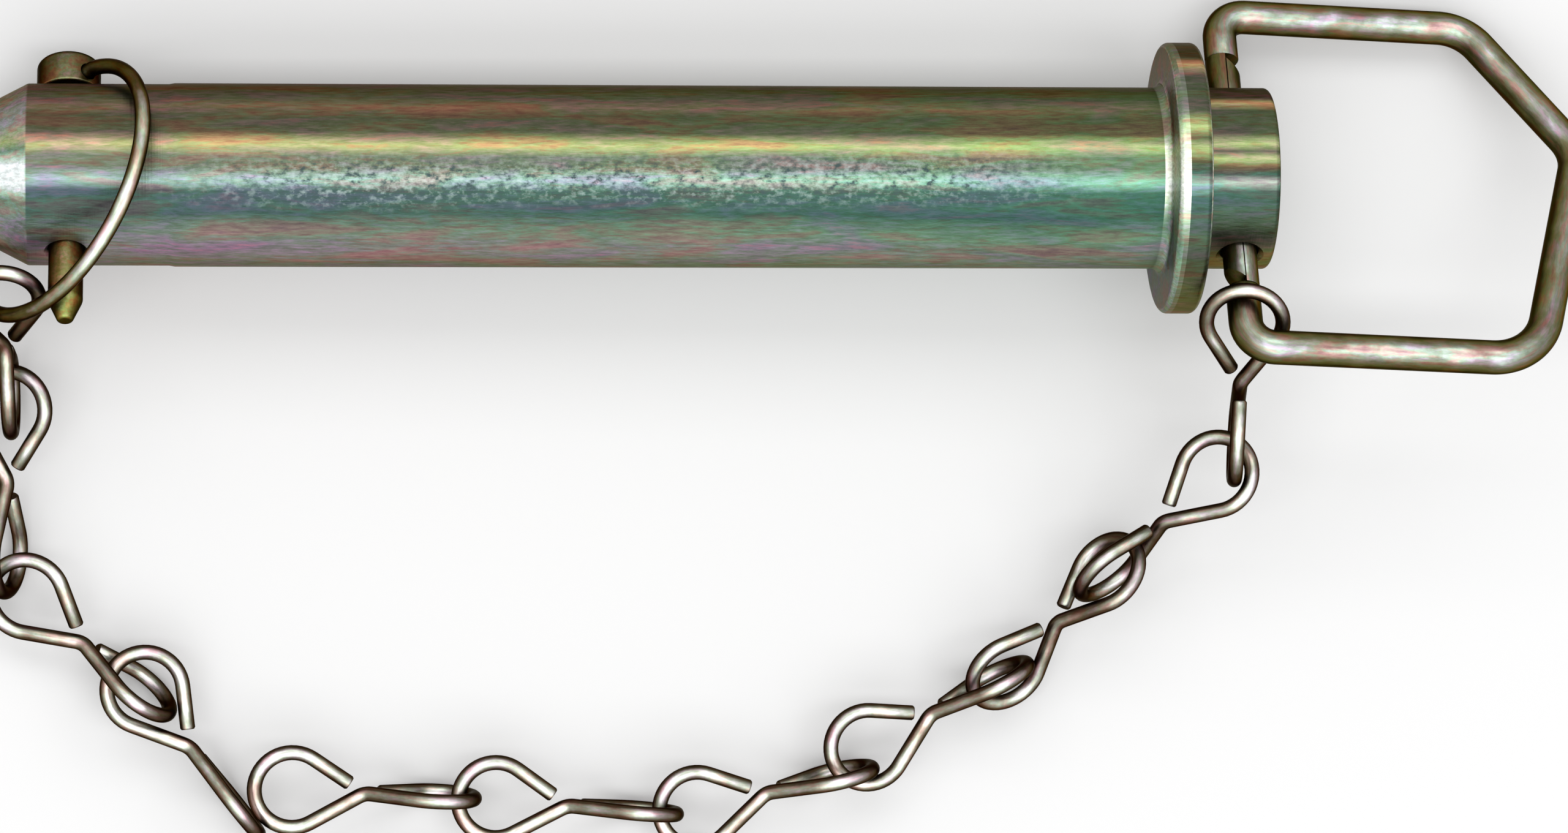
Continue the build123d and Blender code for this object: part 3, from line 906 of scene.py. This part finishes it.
# Painted shading for the chain links: dark brown where the wire faces sideways, pale silver where it faces
# up or down.
chain_tones = [
    (0.42, (0.018, 0.010, 0.007)),
    (0.70, (0.100, 0.062, 0.042)),
    (0.88, (0.330, 0.280, 0.260)),
    (1.00, (0.760, 0.730, 0.710)),
]
chain_plate = wire_plate("chain_plate", chain_tones, 0.002, 0.45, thick=0.00135)[0]
LINKS = [
    (13.1, -35.9, 6.2, -86.9, 34.7, 79.7),
    (1.7, -60.4, -7.0, -136.6, 14.0, 63.3),
    (-16.4, -78.3, -12.7, -134.1, 11.7, 38.3),
    (-38.5, -94.5, -15.6, -152.5, 0.4, 6.8),
    (-67.8, -108.3, -15.7, -167.1, -0.5, 5.7),
    (-103.0, -110.3, -15.7, 175.3, 0.3, 0.9),
    (-138.7, -107.9, -15.8, 177.1, 0.0, 4.8),
    (-169.2, -99.6, -15.8, 128.1, 0.4, 1.3),
    (-187.8, -81.3, -16.2, 140.3, 1.2, 19.3),
    (-200.8, -53.2, -15.0, 88.9, -5.4, 20.4),
    (-201.1, -29.8, -5.7, 95.0, -49.5, 4.9),
]


def link_place(x, y, z, heading, dip, roll):
    """A link's own frame as it lies: X along it to the ring end, Z the way its first loop stands."""
    h, d, r = radians(heading), radians(dip), radians(roll)
    lie = Vector((cos(d) * cos(h), cos(d) * sin(h), -sin(d)))
    up = Vector((0, 0, 1))
    upright = (up - lie * up.dot(lie)).normalized()
    stand = upright * cos(r) + upright.cross(lie) * sin(r)
    frame_of_link = Matrix((lie, stand.cross(lie), stand)).transposed().to_4x4()
    frame_of_link.translation = Vector((x, y, z)) / 1000
    return frame_of_link


for number, lies in enumerate(LINKS, 1):
    place = link_place(*lies)
    link = draw_wire(f"jack_link_{number:02d}", [place @ p for p in link_path], LINK_WIRE, chain_plate, 20)
    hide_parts(f"chain_link_{number:02d}")
    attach(link, f"link_{number:02d}")


# --- Floor, light and camera ----------------------------------------------------------------
# A plain white sheet of paper under the part, so that it casts its shadow on something.
# Three broad soft lamps light it from behind, above and in front.
floor_z = cad_box[0][2]
floor_mesh = bpy.data.meshes.new("floor")
FLOOR_REACH = 3
corners = [(x * FLOOR_REACH, y * FLOOR_REACH, floor_z) for x, y in ((-1, -1), (1, -1), (1, 1), (-1, 1))]
floor_mesh.from_pydata(corners, [], [(0, 1, 2, 3)])
floor = bpy.data.objects.new("floor", floor_mesh)
bpy.context.scene.collection.objects.link(floor)
paper = bpy.data.materials.new("white_paper")
paper.use_nodes = True
tree = paper.node_tree
sheet = tree.nodes["Principled BSDF"]
sheet.inputs["Base Color"].default_value = (0.9, 0.9, 0.9, 1)
sheet.inputs["Roughness"].default_value = 0.9
floor_mesh.materials.append(paper)

world = bpy.data.worlds.new("studio")
bpy.context.scene.world = world
world.use_nodes = True
SKY_FILL = 0.58
sky_tree = world.node_tree
sky = sky_tree.nodes["Background"]
sky.inputs["Color"].default_value = (1, 1, 1, 1)
rays = sky_tree.nodes.new("ShaderNodeLightPath")
seen = value_node(sky_tree, "MAXIMUM", rays.outputs["Is Camera Ray"], rays.outputs["Is Glossy Ray"])
seen = value_node(sky_tree, "MAXIMUM", seen, rays.outputs["Is Transmission Ray"])
glow = spread(sky_tree, seen, 0.0, 1.0, SKY_FILL, 1.0)
sky_tree.links.new(glow, sky.inputs["Strength"])


def lamp(name, place, aim, size, watts):
    """A soft box aimed at a point."""
    light = bpy.data.lights.new(name, "AREA")
    light.shape = "RECTANGLE"
    light.size, light.size_y = size
    light.energy = watts
    holder = bpy.data.objects.new(name, light)
    holder.location = place
    holder.rotation_euler = (Vector(aim) - Vector(place)).to_track_quat("-Z", "Y").to_euler()
    bpy.context.scene.collection.objects.link(holder)


lamp("key", (-0.06, 0.78, 1.15), (-0.06, 0.0, 0), (2.0, 0.60), 4.9)
lamp("top", (-0.06, -0.20, 1.40), (-0.06, 0.0, 0), (2.0, 0.30), 5.6)
lamp("fill", (-0.06, -0.9, 1.1), (-0.06, -0.05, 0), (2.0, 0.9), 6.0)

camera_data = bpy.data.cameras.new("camera")
camera_data.sensor_width = 36.0
camera_data.lens = 142.4
camera = bpy.data.objects.new("camera", camera_data)
camera.location = (-0.1857, -0.0418, 1.074)
aim = Vector((-0.0664, -0.0418, 0.0))
away = (camera.location - aim).normalized()
right = Vector((0, 1, 0)).cross(away).normalized()
camera.rotation_euler = Matrix((right, away.cross(right), away)).transposed().to_euler()
bpy.context.scene.collection.objects.link(camera)
bpy.context.scene.camera = camera
camera_data.clip_end = 20
bpy.context.scene.view_settings.view_transform = "Standard"
